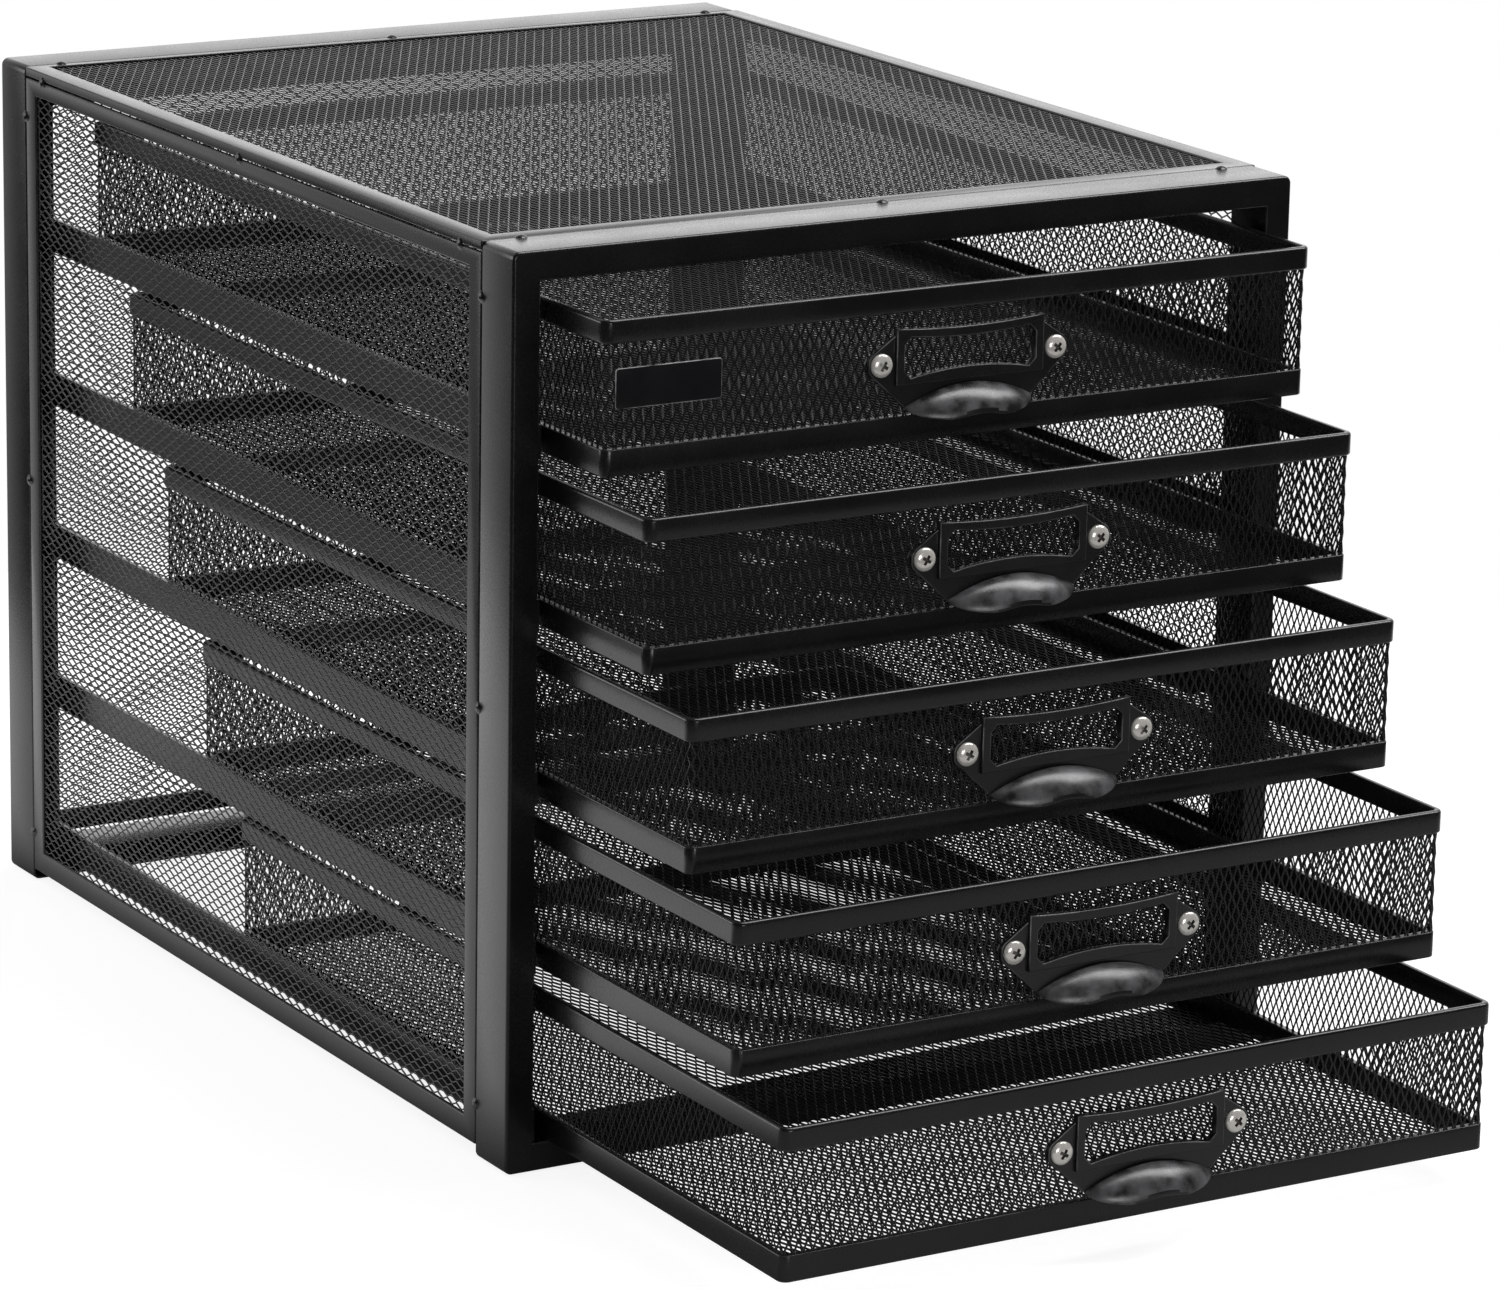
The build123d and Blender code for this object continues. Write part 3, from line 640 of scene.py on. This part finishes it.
def pullShell(s, across=48, down=14):
    # a hood from the arc on the plate out to a lip with two lobes
    shape = bmesh.new()
    grid = []
    for i in range(across + 1):
        u = -1 + 2 * i / across
        full = max(0.0, 1 - u * u)
        rise = s["pullRise"] * full
        out = s["pullDepth"] * full ** s["hoodFlare"]
        swell = 0.5 - 0.5 * cos(pi * min(1.0, abs(u) * s["pullHalfWidth"] / s["lobeReach"]))
        lobes = s["lobeDrop"] * full ** s["lobeFade"] * swell
        lip = -(s["lipMiddle"] * full + lobes * (1 - s["lipMiddle"] / s["lobeDrop"] * full))
        column = []
        for j in range(down + 1):
            t = j / down
            bulge = sin(t * pi / 2) ** s["hoodRound"]
            z = rise + (lip - rise) * (1 - cos(t * pi / 2)) ** s["hoodFall"]
            column.append(shape.verts.new((u * s["pullHalfWidth"] * mm, z * mm, out * bulge * mm)))
        grid.append(column)
    for left, right in zip(grid, grid[1:]):
        for j in range(down):
            shape.faces.new((left[j], left[j + 1], right[j + 1], right[j]))
    bmesh.ops.remove_doubles(shape, verts=shape.verts, dist=1e-6)
    bmesh.ops.recalc_face_normals(shape, faces=shape.faces)
    shape.faces.ensure_lookup_table()
    middle = min(shape.faces, key=lambda face: face.calc_center_median().xy.length)
    if middle.normal.z < 0:
        bmesh.ops.reverse_faces(shape, faces=shape.faces)
    for face in shape.faces:
        face.smooth = True
    mesh = bpy.data.meshes.new("hood")
    shape.to_mesh(mesh)
    shape.free()
    blank = bpy.data.objects.new("hood", mesh)
    scene.collection.objects.link(blank)
    wall = blank.modifiers.new("wall", "SOLIDIFY")
    wall.thickness = s["pullWall"] * mm
    wall.offset = -1
    lip = blank.modifiers.new("lip", "BEVEL")
    lip.width = s["lipEdge"] * mm
    lip.segments = 2
    lip.limit_method = "ANGLE"
    lip.angle_limit = radians(s["lipSharp"])
    return evaluated(blank)


def buildHandles(s):
    plate = cutSheet([plateOutline(s), windowOutline(s)], s["plateThickness"], s["edge"])
    holder = cutSheet([holderOutline(s), windowOutline(s)], s["holderRise"] + s["holderSink"],
                      s["edge"])
    holder.transform(Matrix.Translation((0, 0, (s["plateThickness"] - s["holderSink"]) * mm)))
    hood = pullShell(s)
    hood.transform(Matrix.Translation((0, -s["pullDrop"] * mm, (s["plateThickness"] - s["hoodSink"]) * mm)))
    shape = bmesh.new()
    for mesh in (plate, holder, hood):
        shape.from_mesh(mesh)
    bmesh.ops.remove_doubles(shape, verts=shape.verts, dist=1e-7)
    whole = bpy.data.meshes.new("handle")
    shape.to_mesh(whole)
    shape.free()
    whole.materials.clear()
    whole.materials.append(coats["handlePlastic"])
    whole.polygons.foreach_set("material_index", [0] * len(whole.polygons))
    # small slanted faces towards the front get the painted highlight
    least, most = s["highlightSlant"]
    slanted = [float(least < abs(face.normal.z) < most and face.area < s["highlightArea"]
                     and face.center.z > s["highlightLevel"]) for face in whole.polygons]
    whole.attributes.new("wearAndPaintedLight", "FLOAT", "FACE").data.foreach_set("value", slanted)
    upright = Matrix(((1, 0, 0, 0), (0, 0, -1, 0), (0, 1, 0, 0), (0, 0, 0, 1)))
    for number in drawerNumbers:
        body = f"drawer_{number}"
        screwLow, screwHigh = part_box(f"{body}_screws")
        wallLow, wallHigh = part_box(f"{body}_walls")
        mesh = whole.copy()
        place = Vector((0, wallLow[1], (screwLow[2] + screwHigh[2]) / 2))
        mesh.transform(Matrix.Translation(place) @ upright)
        asPiece(f"drawer{number}Pull", mesh, body, [f"{body}_handle"])


buildHandles(handleSettings)
print("handles ready")

# ---- screws: one lathed shape, set on two points of each drawer
screwSettings = {
    "profile": [(0.0, 0.0), (1.3, 0.0), (1.5, 0.2), (1.5, 5.4), (3.4, 5.4), (3.56, 5.5), (3.6, 5.7),
                (3.58, 6.05), (3.42, 6.38), (3.1, 6.68), (2.6, 6.93), (2.0, 7.11), (1.3, 7.23),
                (0.65, 7.29), (0.0, 7.3)],
    "steps": 36,
    "recess": (3.7, 1.0, 1.2),     # length, width and depth of the cross
    "recessTaper": 0.62, "recessOverrun": 0.5, "sharpAngle": 38.0,
    # the part of the cross that is painted darker as shade, and how strongly
    "shadeReach": 0.6, "shadeDepth": 1.2, "shadeTop": 0.3, "shadeAmount": 3.0,
    "turnSeed": 4,
}


def lathe(name, profile, steps):
    shape = bmesh.new()
    ring = [shape.verts.new((x * mm, 0, z * mm)) for x, z in profile]
    edges = [shape.edges.new(pair) for pair in zip(ring, ring[1:])]
    bmesh.ops.spin(shape, geom=ring + edges, axis=(0, 0, 1), cent=(0, 0, 0), steps=steps, angle=2 * pi)
    bmesh.ops.remove_doubles(shape, verts=shape.verts, dist=1e-6)
    bmesh.ops.recalc_face_normals(shape, faces=shape.faces)
    for face in shape.faces:
        face.smooth = True
    mesh = bpy.data.meshes.new(name)
    shape.to_mesh(mesh)
    shape.free()
    return mesh


def crossRecess(mesh, s):
    # cuts a tapered cross into the head
    length, width, depth = (value * mm for value in s["recess"])
    top = s["profile"][-1][1] * mm
    shape = bmesh.new()
    for along, across in ((length, width), (width, length)):
        box = bmesh.ops.create_cube(shape, size=1.0)["verts"]
        for vert in box:
            upper = vert.co.z > 0
            taper = 1.0 if upper else s["recessTaper"]
            vert.co.x *= along * (taper if along > across else 1.0)
            vert.co.y *= across * (taper if across > along else 1.0)
            vert.co.z = top + (s["recessOverrun"] * mm if upper else -depth)
    cutterMesh = bpy.data.meshes.new("cross")
    shape.to_mesh(cutterMesh)
    shape.free()
    cutter = bpy.data.objects.new("cross", cutterMesh)
    blank = bpy.data.objects.new("screwBlank", mesh)
    for piece in (cutter, blank):
        scene.collection.objects.link(piece)
    cut = blank.modifiers.new("cut", "BOOLEAN")
    cut.object = cutter
    cut.solver = "EXACT"
    cut.use_self = True
    finished = evaluated(blank)
    bpy.data.objects.remove(cutter)
    finished.set_sharp_from_angle(angle=radians(s["sharpAngle"]))
    # painted shade in the cross: its faces are marked for the finish
    reach = s["shadeReach"] * length
    lowest, highest = top - s["shadeDepth"] * depth, top - s["shadeTop"] * mm
    crossShade = [s["shadeAmount"] * (face.center.xy.length < reach and lowest < face.center.z < highest)
             for face in finished.polygons]
    finished.attributes.new("wearAndPaintedLight", "FLOAT", "FACE").data.foreach_set("value", crossShade)
    return finished


def growPair(seed):
    tree = bpy.data.node_groups.new("screwPair", "GeometryNodeTree")
    tree.interface.new_socket("Geometry", in_out="OUTPUT", socket_type="NodeSocketGeometry")
    tree.interface.new_socket("Screw", in_out="INPUT", socket_type="NodeSocketObject")
    tree.interface.new_socket("First", in_out="INPUT", socket_type="NodeSocketVector")
    tree.interface.new_socket("Spacing", in_out="INPUT", socket_type="NodeSocketVector")
    tree.interface.new_socket("Coat", in_out="INPUT", socket_type="NodeSocketMaterial")
    given = wire(tree, "NodeGroupInput").outputs
    screw = wire(tree, "GeometryNodeObjectInfo", {"Object": given["Screw"]})
    points = wire(tree, "GeometryNodeMeshLine", {"Count": 2, "Start Location": given["First"],
                                                 "Offset": given["Spacing"]})
    turn = wire(tree, "FunctionNodeRandomValue", {"Min": (0.0, 0.0, 0.0), "Max": (0.0, 0.0, 2 * pi),
                                                  "Seed": seed}, data_type="FLOAT_VECTOR")
    towardsFront = wire(tree, "FunctionNodeRotateEuler", {"Rotation": (pi / 2, 0.0, 0.0),
                                                          "Rotate By": turn.outputs[0]}, space="LOCAL")
    placed = wire(tree, "GeometryNodeInstanceOnPoints", {"Points": points.outputs[0],
                                                         "Instance": screw.outputs["Geometry"],
                                                         "Rotation": towardsFront.outputs[0]})
    solid = wire(tree, "GeometryNodeRealizeInstances", {"Geometry": placed.outputs[0]})
    coated = wire(tree, "GeometryNodeSetMaterial", {"Geometry": solid.outputs[0],
                                                        "Material": given["Coat"]})
    wire(tree, "NodeGroupOutput", {0: coated.outputs[0]})
    return tree


def buildScrews(s):
    template = bpy.data.objects.new("screwTemplate",
                                    crossRecess(lathe("screwTemplate", s["profile"], s["steps"]), s))
    scene.collection.objects.link(template)
    pair = growPair(s["turnSeed"])
    for number in drawerNumbers:
        low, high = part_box(f"drawer_{number}_screws")
        radius = (high[2] - low[2]) / 2
        first = Vector((low[0] + radius, low[1] + s["profile"][-1][1] * mm, (low[2] + high[2]) / 2))
        spacing = Vector((high[0] - low[0] - 2 * radius, 0, 0))
        mesh = runTree(pair, {"Screw": template, "First": first, "Spacing": spacing,
                              "Coat": coats["nickel"]})
        body = f"drawer_{number}"
        asPiece(f"drawer{number}ScrewPair", mesh, body, [f"{body}_screws"])
    bpy.data.objects.remove(template)


buildScrews(screwSettings)
print("screws ready")

dress("weld_beads", "powderCoat")
for number in drawerNumbers:
    dress(f"drawer_{number}_nuts", "zinc")
    for side in ("left", "right"):
        dress(f"{side}_runner_{number}", "powderCoat")

print("all pieces ready")
